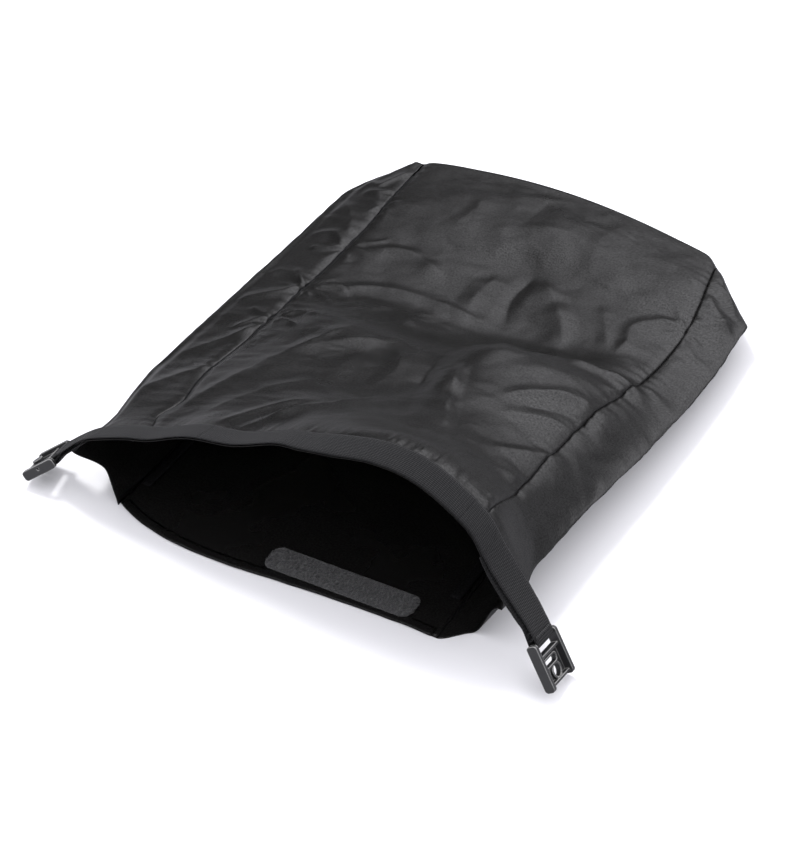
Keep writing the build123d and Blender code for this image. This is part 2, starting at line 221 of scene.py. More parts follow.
# curve, height, width on the left of its direction, width on its right
FOLDS = (
    # the far edge of the sheet over the toes
    (((36, 180), (64, 196), (87, 209), (128, 225), (158, 232), (176, 219)), 7.0, 12, 48),
    (((-104, 214), (-70, 232), (-40, 234), (-12, 216)), 3.0, 24, 40),
    # border between the two mounds
    (((50, 160), (57, 140), (66, 116), (78, 84), (96, 50)), 5.5, 9, 42),
    (((30, 200), (30, 150), (40, 105), (56, 60)), -4.0, 40, 22),
    # folds that run in from the right-hand seam
    (((170, 180), (130, 163), (92, 126)), 3.0, 9, 11),
    (((166, 142), (137, 132), (102, 111)), 2.4, 8, 9),
    (((168, 160), (140, 148), (108, 128)), -1.8, 7, 7),
    (((166, 114), (144, 88), (116, 64)), 3.4, 26, 9),
    (((160, 62), (138, 46), (112, 14)), 2.0, 14, 16),
    # crescent beside the mouth and the rim of the left mound
    (((-46, -6), (-20, 36), (8, 70), (24, 98)), 4.6, 8, 24),
    (((-66, -4), (-44, 34), (-14, 64)), 2.4, 8, 14),
    (((-82, 122), (-50, 158), (-16, 168), (6, 142), (2, 100)), 3.4, 34, 14),
    (((-118, 20), (-96, 88), (-70, 150), (-48, 200)), 2.2, 12, 34),
    (((-90, 12), (-66, 60), (-30, 104)), 1.8, 14, 20),
    (((-110, 186), (-82, 206), (-58, 240)), 2.4, 10, 22),
    # the creased hollow before the stiff bottom
    (((4, 248), (-6, 286), (-3, 332)), 3.0, 14, 30),
    (((34, 262), (20, 300), (24, 340)), -2.4, 12, 12),
    (((87, 258), (66, 295), (22, 346)), 3.0, 28, 15),
    (((122, 266), (127, 288), (121, 308), (134, 326), (166, 342)), 3.2, 10, 24),
    (((120, 270), (104, 299), (88, 326)), 2.0, 11, 18),
    (((-122, 307), (-80, 318), (-36, 298)), 2.8, 10, 22),
    (((-120, 242), (-84, 264), (-40, 270), (30, 262)), 2.6, 10, 16),
    # edges and creases of the stiff bottom
    (((-108, 351), (-49, 344), (8, 352)), 1.8, 44, 16),
    (((40, 352), (105, 346), (158, 355)), 1.8, 40, 15),
    (((-100, 410), (-61, 415), (4, 442)), 1.4, 9, 34),
    (((-61, 415), (-60, 386), (-66, 360)), 1.1, 28, 10),
    (((-10, 438), (-12, 400), (-22, 366)), -1.4, 20, 20),
    (((60, 356), (52, 402), (62, 436)), 1.2, 12, 40),
    (((88, 400), (128, 392), (150, 372)), 1.2, 24, 12),
    (((-40, 372), (20, 392), (80, 380)), 1.0, 26, 12),
    # left gusset
    (((-186, 100), (-156, 138), (-126, 176)), 2.0, 14, 14),
    (((-182, 204), (-154, 222), (-128, 240)), 2.6, 12, 14),
    (((-180, 262), (-156, 256), (-134, 242)), 2.2, 12, 12),
    (((-176, 318), (-154, 322), (-132, 306)), 2.6, 10, 16),
    (((-176, 372), (-156, 352), (-136, 312)), 2.6, 10, 16),
    (((-172, 412), (-156, 396), (-140, 376)), 2.4, 10, 12),
    (((-180, 40), (-152, 80), (-130, 104)), 1.8, 12, 16),
    # short sharp folds drawn to the gathers of the left seam
    (((-130, 184), (-142, 178), (-156, 160)), 2.6, 4, 8),
    (((-130, 186), (-146, 190), (-160, 198)), 2.0, 5, 7),
    (((-127, 184), (-116, 194), (-104, 197), (-92, 190)), 2.4, 5, 9),
    (((-127, 182), (-114, 178), (-98, 168)), 2.0, 4, 8),
    (((-134, 240), (-146, 232), (-164, 226)), 2.4, 4, 8),
    (((-134, 242), (-146, 252), (-158, 268)), 2.0, 5, 7),
    (((-131, 240), (-118, 250), (-104, 250), (-92, 240)), 2.6, 5, 10),
    (((-131, 238), (-116, 232), (-98, 226)), 1.8, 4, 7),
    (((-136, 307), (-150, 300), (-166, 298)), 2.2, 4, 8),
    (((-133, 308), (-118, 318), (-104, 330)), 1.8, 4, 8),
    (((-139, 432), (-150, 414), (-158, 396)), 2.0, 6, 10),
    (((-137, 400), (-150, 390), (-168, 390)), 2.2, 7, 10),
    # far right corner
    (((148, 430), (168, 404), (186, 380)), 2.6, 8, 13),
    (((146, 402), (166, 392), (188, 396)), 2.0, 8, 10),
    (((152, 378), (170, 366), (192, 352)), 2.2, 8, 14),
    # right gusset
    (((192, 150), (178, 160), (156, 164)), 1.8, 14, 16),
    (((196, 236), (180, 240), (158, 246)), 2.0, 12, 18),
    (((186, 18), (178, 52), (162, 96)), 2.2, 12, 20),
    (((192, 84), (182, 104), (158, 128)), 1.8, 10, 22),
    (((176, 0), (164, 26), (150, 52)), -1.8, 14, 10),
    (((194, 310), (178, 306), (160, 320)), 2.0, 10, 14),
    (((186, 372), (172, 352), (160, 334)), 2.4, 10, 14),
)
KNOTS = (
    (-128, 184, 7, 13, 1.5, 0.4),
    (-132, 240, 9, 15, 2.0, 1.1),
    (-134, 307, 7, 14, 1.7, 0.2),
    (-136, 372, 5, 12, 1.4, 2.1),
    (151, 160, 6, 12, 1.0, 0.7),
    (158, 330, 7, 14, 1.5, 1.2),
)


def creases(x, y):
    """Every fold and pucker of the upper side, added up."""
    out = np.zeros(x.shape)
    for points, height, left, right in FOLDS:
        out += fold(x, y, points, height, left, right)
    for cx, cy, count, radius, height, turn in KNOTS:
        out += star(x, y, cx, cy, count, radius, height, turn)
    for seam, pinch in ((seam_left(y), 1.8), (seam_right(y), 1.1)):
        d = np.abs(x - seam)
        pull = 0.5 + 0.5 * wander(x * 0, y, 60.0, 51)
        out -= pinch * np.exp(-((d / 4.5) ** 2))
        gathers = 1 - np.abs(np.sin(y / 3.3 + 1.5 * np.sin(y / 21.0))) - 0.36
        out += 0.9 * pull * np.exp(-d / 11.0) * gathers
    # small ruffles behind the webbing, stronger on the right
    run = x + 6.0 * np.sin(x / 17.0) + 0.15 * (x - 60) * smooth(y / 40)
    size = 0.6 + 1.1 * smooth((x - 55) / 30) * smooth((165 - x) / 20)
    size *= np.clip(0.9 + 1.1 * wander(x, y * 0, 19.0, 53), 0.1, 2.0)
    length = 9.0 + 20.0 * smooth((x - 55) / 30) * smooth((165 - x) / 20)
    ruffle = (1 - np.abs(np.sin(run / 2.4)) - 0.36) + 0.7 * np.sin(run / 4.1 + 1.0)
    out += size * ruffle * np.exp(-np.clip(y + 6, 0, 200) / length) * smooth((y + 9) / 6)
    return out


def crumple(x, y, size, seed):
    """Flat facets with sharp edges, as thin coated cloth takes after handling, about -1 to 1."""
    r = np.random.default_rng(seed)
    out = np.zeros(np.broadcast(x, y).shape)
    wx = x + 0.22 * size * wander(x, y, size * 1.7, seed + 1)
    wy = y + 0.22 * size * wander(x, y, size * 1.7, seed + 2)
    for k in range(5):
        a = r.uniform(0, math.pi)
        length = size * r.uniform(0.7, 1.5)
        t = (wx * math.cos(a) + wy * math.sin(a)) / length + r.uniform(0, 1)
        saw = 4 * np.abs(t - np.floor(t) - 0.5) - 1
        level = 0.5 + 0.5 * wander(x, y, size * 2.2, seed + 10 + k)
        out += saw * np.clip(level, 0, 1)
    return out / 2.0


def top_z(x, y):
    """Height of the upper side, folds and all. The strip under the webbing stays plain."""
    return drape(x, y) + creases(x, y) * smooth((y + 9.0) / 8.0)


# columns of the shell, from the back-left seam over the top to the back-right seam
NA, NB, NC, ND, NE = 12, 14, 84, 12, 12
NU = NA + NB + NC + ND + NE + 1
NV = 128
CREASE_L, COL_L = NA, NA + NB           # side crease and front seam on the left
COL_R = COL_L + NC                      # front seam on the right
CREASE_R = COL_R + ND                   # side crease on the right


def shell(nv, mult):
    """Points of the shell, rows from the lip to the far seam. mult refines the columns."""
    cols = np.arange((NU - 1) * mult + 1) / mult
    v = np.linspace(0, 1, nv)[:, None]

    def share(first, count):
        """Place within a run of columns, 0 to 1."""
        return np.clip((cols - first) / count, 0, 1)[None]

    a, b, c = share(0, NA), share(CREASE_L, NB), share(COL_L, NC)
    d, e = share(COL_R, ND), 1 - share(CREASE_R, NE)
    low = 1 - a + 1 - e
    on_left = (cols < (COL_L + COL_R) / 2)[None]
    y_lip = LIP_Y + np.where(on_left, 14.0, 9.0) * smooth(low * 1.6)
    y_lip = y_lip - np.where(on_left, 8.0, 18.0) * smooth(low * 2 - 1)
    y_lip = y_lip + 9.0 * np.sin(math.pi * np.clip(2 * d - 1, 0, 1))
    y = y_lip + v * (far_y(lerp(-BACK_HALF, 139.0, c)) - y_lip)
    hl, hr, sl, sr = half_left(y), half_right(y), seam_left(y), seam_right(y)
    x = np.select(
        [cols < CREASE_L, cols < COL_L, cols <= COL_R, cols <= CREASE_R],
        [-lerp(BACK_HALF, hl, a), lerp(-hl, sl, b), lerp(sl, sr, c), lerp(sr, hr, d)],
        lerp(BACK_HALF, hr, e),
    )
    zl, zr, near = crease_left(y), crease_right(y), near_mouth(y)
    under_left = zl * lerp(0.15 * a + 0.85 * a**2.2, a**0.62, near)
    under_right = zr * lerp(0.15 * e + 0.85 * e**2.2, smooth((e - 0.4) / 0.55), near)
    side = np.where(x < 0, zl, zr)
    round_right = lerp(30.0, 13.0, smooth((y - 290.0) / 90.0))
    edge = smooth((hl + x) / 12.0) * (1 - np.clip(1 - (hr - x) / round_right, 0, 1) ** 2.2)
    over = side + (np.maximum(top_z(x, y), side) - side) * edge
    z = np.select([cols < CREASE_L, cols > CREASE_R], [under_left, under_right], over)
    return np.stack([x, y, z], -1), cols


MUL = 2
P, cols = shell((NV - 1) * MUL + 1, MUL)
NVF, NUF = P.shape[:2]

# flat facets over the whole shell, kept off its edges and seams
rowf = np.linspace(0, 1, NVF)[:, None]
flat = smooth((rowf - 0.075) / 0.05) * smooth((1 - rowf) / 0.02)
flat = flat * (smooth((cols - 1.0) / 5.0) * smooth((NU - 2.0 - cols) / 5.0))[None]
flat = flat * smooth(np.minimum(np.abs(cols - COL_L), np.abs(cols - COL_R)) / 2.0)[None]
u_arc, v_arc = cols[None] * 3.6, rowf * 480.0
CRUMPLES = ((0.9, 80.0, 61), (0.45, 34.0, 71), (0.18, 15.0, 81))     # height, size, seed
relief = sum(k * crumple(u_arc, v_arc, size, seed) for k, size, seed in CRUMPLES)


# ---------------------------------------------------------------- meshes
def to_frame(p):
    """Millimetres from the mouth chord to metres in the frame."""
    q = np.array(p, float) * MM
    q[..., 1] += MOUTH * MM
    return q


def new_object(name, verts, faces, uvs=None):
    me = bpy.data.meshes.new(name)
    me.from_pydata([tuple(v) for v in verts], [], faces)
    if uvs is not None:
        layer = me.uv_layers.new(name="UVMap")
        idx = np.zeros(len(me.loops), int)
        me.loops.foreach_get("vertex_index", idx)
        layer.data.foreach_set("uv", np.asarray(uvs, float)[idx].ravel())
    me.polygons.foreach_set("use_smooth", [True] * len(me.polygons))
    me.update()
    ob = bpy.data.objects.new(name, me)
    bpy.context.scene.collection.objects.link(ob)
    return ob


def normals(G):
    n = np.cross(np.gradient(G, axis=1), np.gradient(G, axis=0))
    return n / (np.linalg.norm(n, axis=-1, keepdims=True) + 1e-9)


def slab_object(name, G, UV, thick):
    """Closed sheet: a grid, a copy moved inwards by thick, and a rim."""
    n, m = G.shape[:2]
    N = normals(G)
    both = np.concatenate([G.reshape(-1, 3), (G - N * thick).reshape(-1, 3)])
    uv = np.concatenate([UV.reshape(-1, 2)] * 2)
    idx = np.arange(n * m).reshape(n, m)
    k = n * m
    q = np.stack([idx[:-1, :-1], idx[:-1, 1:], idx[1:, 1:], idx[1:, :-1]], -1).reshape(-1, 4)
    rim = np.concatenate([idx[0], idx[1:, -1], idx[-1, -2::-1], idx[-2:0:-1, 0]])
    after = np.roll(rim, -1)
    sides = np.stack([after, rim, rim + k, after + k], -1)
    faces = np.concatenate([q, q[:, ::-1] + k, sides]).tolist()
    return new_object(name, to_frame(both), faces, uv * MM)


P = P + normals(P) * (relief * flat)[..., None]


# ---------------------------------------------------------------- materials
def node_material(name):
    m = bpy.data.materials.new(name)
    m.use_nodes = True
    nt = m.node_tree
    nt.nodes.clear()
    out = nt.nodes.new("ShaderNodeOutputMaterial")
    bsdf = nt.nodes.new("ShaderNodeBsdfPrincipled")
    nt.links.new(bsdf.outputs[0], out.inputs[0])
    return m, nt, bsdf


def add(nt, kind, **values):
    n = nt.nodes.new(kind)
    for k, v in values.items():
        if k in n.inputs.keys():
            n.inputs[k].default_value = v
        else:
            setattr(n, k, v)
    return n


def maths(nt, op, a, b=None):
    n = add(nt, "ShaderNodeMath", operation=op)
    for i, v in enumerate((a, b)):
        if isinstance(v, (int, float)):
            n.inputs[i].default_value = v
        elif v is not None:
            nt.links.new(v, n.inputs[i])
    return n.outputs[0]


def ribs(nt, coord, pitch):
    """Rounded ribs across a coordinate given in metres, 0 to 1."""
    s = maths(nt, "SINE", maths(nt, "MULTIPLY", coord, 2 * math.pi / pitch))
    return maths(nt, "ADD", maths(nt, "MULTIPLY", s, 0.5), 0.5)


def noise(nt, where, scale, detail=2.0, roughness=0.5):
    n = add(nt, "ShaderNodeTexNoise", Scale=scale, Detail=detail, Roughness=roughness)
    nt.links.new(where, n.inputs["Vector"])
    return n.outputs["Fac"]


def remap(nt, value, low, high, out_low, out_high, curve="LINEAR"):
    """Carries a value from low..high to out_low..out_high, held at both ends."""
    ends = {"From Min": low, "From Max": high, "To Min": out_low, "To Max": out_high}
    n = add(nt, "ShaderNodeMapRange", interpolation_type=curve, **ends)
    nt.links.new(value, n.inputs["Value"])
    return n.outputs[0]


def blend_colours(nt, factor, first, second):
    """Colour between two; each is a fixed colour or a socket."""
    n = add(nt, "ShaderNodeMix", data_type="RGBA")
    nt.links.new(factor, n.inputs[0])
    for i, colour in ((6, first), (7, second)):
        if isinstance(colour, tuple):
            n.inputs[i].default_value = (*colour, 1)
        else:
            nt.links.new(colour, n.inputs[i])
    return n.outputs[2]


def bump(nt, height, strength, distance, over=None):
    """Relief from a height, laid over another relief."""
    n = add(nt, "ShaderNodeBump", Strength=strength, Distance=distance)
    nt.links.new(height, n.inputs["Height"])
    if over is not None:
        nt.links.new(over, n.inputs["Normal"])
    return n.outputs[0]


def scaled(colour, k):
    return tuple(c * k for c in colour)


WARP_PITCH, WEFT_PITCH = 0.00125, 0.00145       # nylon threads, metres
RIB_ACROSS, RIB_ALONG = 0.0016, 0.0021          # webbing ribs, metres


def nylon(name, tint, rough):
    m, nt, bsdf = node_material(name)
    uv = add(nt, "ShaderNodeUVMap").outputs[0]
    place = add(nt, "ShaderNodeTexCoord").outputs["Object"]
    sep = add(nt, "ShaderNodeSeparateXYZ")
    nt.links.new(uv, sep.inputs[0])
    warp, weft = ribs(nt, sep.outputs[0], WARP_PITCH), ribs(nt, sep.outputs[1], WEFT_PITCH)
    weave = maths(nt, "MULTIPLY", warp, weft)
    colour = blend_colours(nt, weave, scaled(tint, 0.8), scaled(tint, 1.25))
    nt.links.new(colour, bsdf.inputs["Base Color"])
    dull = remap(nt, noise(nt, place, 9.0, 3.0), 0.3, 0.7, rough - 0.05, rough + 0.07)
    nt.links.new(dull, bsdf.inputs["Roughness"])
    # uneven threads, drawn out along the warp and along the weft
    drawn = []
    for along_u, along_v in ((90.0, 1300.0), (1300.0, 90.0)):
        stretch = add(nt, "ShaderNodeVectorMath", operation="MULTIPLY")
        stretch.inputs[1].default_value = (along_u, along_v, 1.0)
        nt.links.new(uv, stretch.inputs[0])
        drawn.append(noise(nt, stretch.outputs[0], 1.0))
    relief = bump(nt, weave, 0.10, 0.0002)
    relief = bump(nt, noise(nt, place, 70.0, 5.0, 0.62), 0.05, 0.0022, relief)
    relief = bump(nt, maths(nt, "ADD", *drawn), 0.7, 0.0002, relief)
    nt.links.new(relief, bsdf.inputs["Normal"])
    # each crossing of the threads shines a little differently
    shine = remap(nt, noise(nt, uv, 620.0, 2.0, 0.7), 0.3, 0.7, 0.2, 0.68)
    nt.links.new(shine, bsdf.inputs["Specular IOR Level"])
    return m


def webbing_material():
    m, nt, bsdf = node_material("webbing_weave")
    sep = add(nt, "ShaderNodeSeparateXYZ")
    nt.links.new(add(nt, "ShaderNodeUVMap").outputs[0], sep.inputs[0])
    across = ribs(nt, sep.outputs[0], RIB_ACROSS)
    along = ribs(nt, sep.outputs[1], RIB_ALONG)
    weave = maths(nt, "MULTIPLY", maths(nt, "ADD", across, 0.35), maths(nt, "ADD", along, 0.5))
    fuzz = noise(nt, add(nt, "ShaderNodeTexCoord").outputs["Object"], 900.0, 3.0)
    height = maths(nt, "ADD", weave, maths(nt, "MULTIPLY", fuzz, 0.5))
    nt.links.new(bump(nt, height, 0.75, 0.0005), bsdf.inputs["Normal"])
    colour = blend_colours(nt, weave, (0.005, 0.005, 0.006), (0.015, 0.015, 0.016))
    nt.links.new(colour, bsdf.inputs["Base Color"])
    bsdf.inputs["Roughness"].default_value = 0.78
    bsdf.inputs["Sheen Weight"].default_value = 0.05
    bsdf.inputs["Specular IOR Level"].default_value = 0.2
    return m


def painted_edge_highlight(nt, colour, pale):
    """Painted highlight: a paler colour on the bevelled edges, strongest on those that face up
    towards the overhead light.
    """
    rim = add(nt, "ShaderNodeBevel", Radius=0.0016, samples=8).outputs[0]
    turn = add(nt, "ShaderNodeVectorMath", operation="DOT_PRODUCT")
    nt.links.new(rim, turn.inputs[0])
    nt.links.new(add(nt, "ShaderNodeNewGeometry").outputs["True Normal"], turn.inputs[1])
    edge_mask = remap(nt, turn.outputs["Value"], 0.985, 0.88, 0.0, 1.0)
    rise = add(nt, "ShaderNodeSeparateXYZ")
    nt.links.new(rim, rise.inputs[0])
    # edges that face up, towards the lamp, get most of the painted highlight
    upward = remap(nt, rise.outputs[2], 0.3, 0.75, 0.12, 1.0)
    return blend_colours(nt, maths(nt, "MULTIPLY", edge_mask, upward), colour, pale)


def plastic_material(name, tint, edge_highlight=None):
    """Moulded plastic; the optional paler colour is painted on its edges as a highlight."""
    m, nt, bsdf = node_material(name)
    place = add(nt, "ShaderNodeTexCoord").outputs["Object"]
    nt.links.new(bump(nt, noise(nt, place, 1400.0), 0.15, 0.0002), bsdf.inputs["Normal"])
    colour = blend_colours(nt, noise(nt, place, 160.0, 4.0), tint, scaled(tint, 1.3))
    if edge_highlight:
        colour = painted_edge_highlight(nt, colour, edge_highlight)
    nt.links.new(colour, bsdf.inputs["Base Color"])
    bsdf.inputs["Roughness"].default_value = 0.3
    bsdf.inputs["Specular IOR Level"].default_value = 0.8
    return m


def pile_material():
    m, nt, bsdf = node_material("pile")
    tufts = noise(nt, add(nt, "ShaderNodeTexCoord").outputs["Object"], 420.0, 5.0, 0.7)
    nt.links.new(bump(nt, tufts, 1.0, 0.0016), bsdf.inputs["Normal"])
    colour = blend_colours(nt, tufts, (0.008, 0.008, 0.009), (0.06, 0.06, 0.062))
    nt.links.new(colour, bsdf.inputs["Base Color"])
    bsdf.inputs["Roughness"].default_value = 0.85
    bsdf.inputs["Sheen Weight"].default_value = 0.3
    return m


NYLON_BLACK = (0.0072, 0.0070, 0.0068)
MAT_SHELL = nylon("nylon_shell", NYLON_BLACK, 0.29)
MAT_GUSSET = nylon("nylon_gusset", NYLON_BLACK, 0.30)
MAT_TAPE = nylon("binding_tape", (0.005, 0.005, 0.006), 0.8)
MAT_WEB = webbing_material()
# the paler colour is a highlight painted on the upper edges of the buckle
MAT_PLASTIC = plastic_material("acetal", (0.018, 0.018, 0.019), edge_highlight=(0.36, 0.36, 0.35))
MAT_THREAD = plastic_material("thread", (0.022, 0.022, 0.023))
MAT_PILE = pile_material()


def finish_piece(ob, mat, body, slot, *nodes, squash=False, anchor=0.0):
    """Material and body of a piece, and the CAD nodes it stands for, which are hidden."""
    ob.data.materials.clear()
    ob.data.materials.append(mat)
    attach(ob, body)
    if squash:
        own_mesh(ob)
    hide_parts(*nodes)


# ---------------------------------------------------------------- shell pieces
def steps_along(G, axis):
    """Running length of the cloth along one direction of a grid."""
    step = np.sqrt((np.diff(G, axis=axis) ** 2).sum(-1))
    return np.concatenate([np.zeros_like(np.take(step, [0], axis)), np.cumsum(step, axis)], axis)


UVG = np.stack([steps_along(P, 1), steps_along(P, 0)], -1)
SHELL_THICK = 0.45
SEAM_GAP = {COL_L: 1.2, COL_R: 0.1}     # between two pieces, where a binding backs the seam
SEAM_LAP = 0.2                          # the pieces lap by this much near the lip


def cut(c0, c1):
    """Part of the shell between two columns, drawn in a little where it meets a seam."""
    a, b = c0 * MUL, c1 * MUL + 1
    G = P[:, a:b].copy()
    below = normals(P)[:, a:b] * 0.5
    for seam, edge, inside in ((c0, 0, 1), (c1, -1, -2)):
        if seam in SEAM_GAP:
            run = G[:, inside] - G[:, edge]
            run = run / np.linalg.norm(run, axis=1, keepdims=True)
            backed = smooth((G[:, edge, 1:2] - 30.0) / 14.0)
            G[:, edge] += run * lerp(-SEAM_LAP, SEAM_GAP[seam], backed) / 2 - below[:, edge]
    return G, UVG[:, a:b]


for name, c0, c1, mat, slot, node in (
    ("front_cloth", COL_L, COL_R, MAT_SHELL, "shell_fabric", "front_panel"),
    ("left_gusset_cloth", 0, COL_L, MAT_GUSSET, "gusset_fabric", "left_gusset"),
    ("right_gusset_cloth", COL_R, NU - 1, MAT_GUSSET, "gusset_fabric", "right_gusset"),
):
    finish_piece(slab_object(name, *cut(c0, c1), SHELL_THICK), mat, "bag", slot, node, squash=True)

# base: from the far edge of the front panel down to the back panel
edge = P[-1]
t = np.linspace(0, 1, 13)[:, None]
foot = np.stack([np.clip(edge[:, 0], -BACK_HALF, BACK_HALF), edge[:, 1], np.full(NUF, 0.4)], -1)
B = edge[None] * (1 - t[..., None]) + foot[None] * t[..., None]
tall = edge[None, :, 2] / 40.0
B[..., 1] += (1.6 + 1.2 * wander(B[..., 0], B[..., 2] * 3, 45.0, 11)) * np.sin(math.pi * t) * tall
base = slab_object("base_cloth", B, np.stack([B[..., 0], -B[..., 2]], -1), SHELL_THICK)
finish_piece(base, MAT_SHELL, "bag", "shell_fabric", "base_panel", squash=True)

# back panel: flat on the floor, a little lively at the lip
bx = np.linspace(-BACK_HALF, BACK_HALF, 90)[None]
lip = back_lip(bx)
by = lip + (far_y(bx) - lip) * np.linspace(0, 1, 120)[:, None]
bx = np.broadcast_to(bx, by.shape)
lift = np.clip(0.9 * wander(bx, by, 70.0, 21), 0, 2) * smooth((BACK_HALF - np.abs(bx)) / 20)
back = slab_object("back_cloth", np.stack([bx, by, 0.55 + lift], -1), np.stack([bx, by], -1), 0.35)
finish_piece(back, MAT_SHELL, "bag", "shell_fabric", "back_panel")

# ---------------------------------------------------------------- webbing
STRAP_WIDTH = 25.0
LIP_THICK, TAIL_THICK = 1.3, 1.15
LIP_FROM, LIP_TO = -157.0, 169.0        # the sewn run of the strap along the lip, in x
LIP_STITCH = -8.0                       # inner edge of that run, in y
LOOP_R = 2.75                           # middle of the webbing round a buckle bar


def unit(v):
    """Vectors brought to length 1."""
    return v / (np.linalg.norm(v, axis=-1, keepdims=True) + 1e-9)


def distance_along(C):
    """Running length of a line of points."""
    return np.concatenate([[0], np.cumsum(np.linalg.norm(np.diff(C, axis=0), axis=1))])


def follow(q, s, C):
    """Columns of C read off at q, where s is their running length."""
    return np.stack([np.interp(q, s, C[:, k]) for k in range(3)], 1)


def resample(C, step):
    """The same line with points about step apart, and their running length."""
    s = distance_along(C)
    q = np.linspace(0, s[-1], max(int(s[-1] / step), 8))
    return follow(q, s, C), q


def blur(C, n):
    """Evens out a line of points, with its ends held."""
    for _ in range(n):
        C = np.concatenate([C[:1], (C[:-2] + 2 * C[1:-1] + C[2:]) / 4, C[-1:]])
    return C


def strap(name, C, W, thick, s0=0.0):
    """Strap along points C, width directions W, with slightly rounded, slightly uneven edges."""
    along = unit(np.gradient(C, axis=0))
    W = W - (W * along).sum(1, keepdims=True) * along
    W = W / np.linalg.norm(W, axis=1, keepdims=True)
    N = np.cross(along, W)
    s = s0 + distance_along(C)
    a = np.linspace(-1, 1, 13)
    wavy = np.sin(s * 0.9) * 0.4 + np.sin(s * 0.37 + 1.3) * 0.6
    off = a[None] * (STRAP_WIDTH / 2 + 0.25 * wavy[:, None] * 0.5)
    bulge = thick / 2 * (1 - 0.75 * np.abs(a[None]) ** 6) * np.ones_like(off)
    middle = C[:, None] + W[:, None] * off[..., None]
    up = middle + N[:, None] * bulge[..., None]
    down = middle - N[:, None] * bulge[..., None]
    ring = np.concatenate([up, down[:, ::-1]], 1)
    u = np.concatenate([a * STRAP_WIDTH / 2, a[::-1] * STRAP_WIDTH / 2 + 40.0])
    n, m = ring.shape[:2]
    idx = np.arange(n * m).reshape(n, m)
    nxt = np.roll(idx, -1, axis=1)
    faces = np.stack([idx[:-1], nxt[:-1], nxt[1:], idx[1:]], -1).reshape(-1, 4).tolist()
    faces += [idx[0][::-1].tolist(), idx[-1].tolist()]
    uv = np.stack([np.broadcast_to(u[None], (n, m)), np.broadcast_to(s[:, None], (n, m))], -1)
    ob = new_object(name, to_frame(ring.reshape(-1, 3)), faces, uv.reshape(-1, 2) * MM)
    for end in (-1, -2):
        ob.data.polygons[end].use_smooth = False
    return ob, s[-1]


def row_at(G, y):
    """Points where a grid crosses a given y, one per column."""
    out = []
    for j in range(G.shape[1]):
        ys = G[:, j, 1]
        i = int(np.clip(np.searchsorted(ys, y), 1, len(ys) - 1))
        t = np.clip((y - ys[i - 1]) / (ys[i] - ys[i - 1] + 1e-9), 0, 1)
        out.append(G[i - 1, j] * (1 - t) + G[i, j] * t)
    return np.array(out)


UP_COLS = slice(CREASE_L * MUL, CREASE_R * MUL + 1)
outer = blur(row_at(P[:, UP_COLS], LIP_Y), 3)
inner = blur(row_at(P[:, UP_COLS], LIP_STITCH), 3)
lip_w = inner - outer
lip_up = np.cross(-lip_w, np.gradient(outer, axis=0))
lip_up = -lip_up / np.linalg.norm(lip_up, axis=1, keepdims=True)
lip_up *= np.sign(lip_up[len(lip_up) // 2, 2])
lip_c = (outer + inner) / 2 + lip_up * 1.15


def part_of_lip(xa, xb):
    """Points and width directions of the strap on the lip between two x."""
    q = np.linspace(xa, xb, max(int(abs(xb - xa) / 1.6), 10))
    C = follow(q, lip_c[:, 0], lip_c)
    C[:, 0] = q
    return C, follow(q, lip_c[:, 0], lip_w)


s_at = 0.0
for name, xa, xb, body, node, anchor in (
    ("lip_strap_left", LIP_FROM, -60.0, "bag", "left_lip_webbing", 0.0),
    ("lip_strap_centre", -60.0, 150.0, "front_lip", "front_lip_webbing", PEAK),
    ("lip_strap_right", 150.0, LIP_TO, "bag", "right_lip_webbing", 0.0),
):
    ob, s_at = strap(name, *part_of_lip(xa, xb), LIP_THICK, s_at)
    finish_piece(ob, MAT_WEB, body, "webbing", node, squash=True, anchor=anchor)


def hermite(p0, t0, p1, t1, n):
    """Smooth run of n points from p0 to p1 with the given tangents."""
    t = np.linspace(0, 1, n)[:, None]
    out = (2 * t**3 - 3 * t**2 + 1) * p0 + (t**3 - 2 * t**2 + t) * t0
    return out + (-2 * t**3 + 3 * t**2) * p1 + (t**3 - t**2) * t1


def thread(verts, faces, p, q, radius, up):
    """Thin six-sided thread from p to q, arched a little."""
    d = unit(q - p)
    n1 = unit(np.cross(d, up))
    n2 = np.cross(d, n1)
    k = len(verts)
    for c in (p, p + (q - p) * 0.5 + up * radius * 0.6, q):
        for a in np.arange(6) * math.pi / 3:
            verts.append(c + (n1 * math.cos(a) + n2 * math.sin(a)) * radius)
    for seg in (0, 6):
        for a in range(6):
            b = (a + 1) % 6
            faces.append([k + seg + a, k + seg + b, k + seg + 6 + b, k + seg + 6 + a])
    faces.append([k + 5 - i for i in range(6)])
    faces.append([k + 12 + i for i in range(6)])


def tail_run(start, tan, w0, join, bar, side, u, w, slack, drift):
    """Points and width directions of a tail: out, round the bar, and back under itself."""
    n = 40
    reach = np.linalg.norm(join - start)
    top = hermite(start, tan * reach * slack, join, u * reach * 0.9, n)
    t = np.linspace(0, 1, n)[:, None]
    top_w = lerp(w0[None], side[None], smooth(t))
    out = np.cross(unit(np.gradient(top, axis=0)), top_w)
    out /= np.linalg.norm(out, axis=1, keepdims=True)
    out *= np.sign(out[-1] @ w)
    turns = np.linspace(0, math.pi, 15)[1:]
    loop = bar + np.outer(LOOP_R * np.cos(turns), w) + np.outer(LOOP_R * np.sin(turns) - 1.0, u)
    # the lower ply reaches back as far as the mouth corner
    gap = lerp(2.0, 2 * LOOP_R, smooth((t - 0.75) / 0.25)) + 1.4 * np.sin(math.pi * t)
    under = (top - out * gap + top_w * drift * np.sin(math.pi * t) ** 0.5)[::-1][1:-3]
    C = np.concatenate([top, loop, under])
    W = np.concatenate([top_w, np.broadcast_to(side, (len(loop), 3)), top_w[::-1][1:-3]])
    s = distance_along(C)
    C, q = resample(C, 1.0)
    return blur(C, 1), follow(q, s, W)


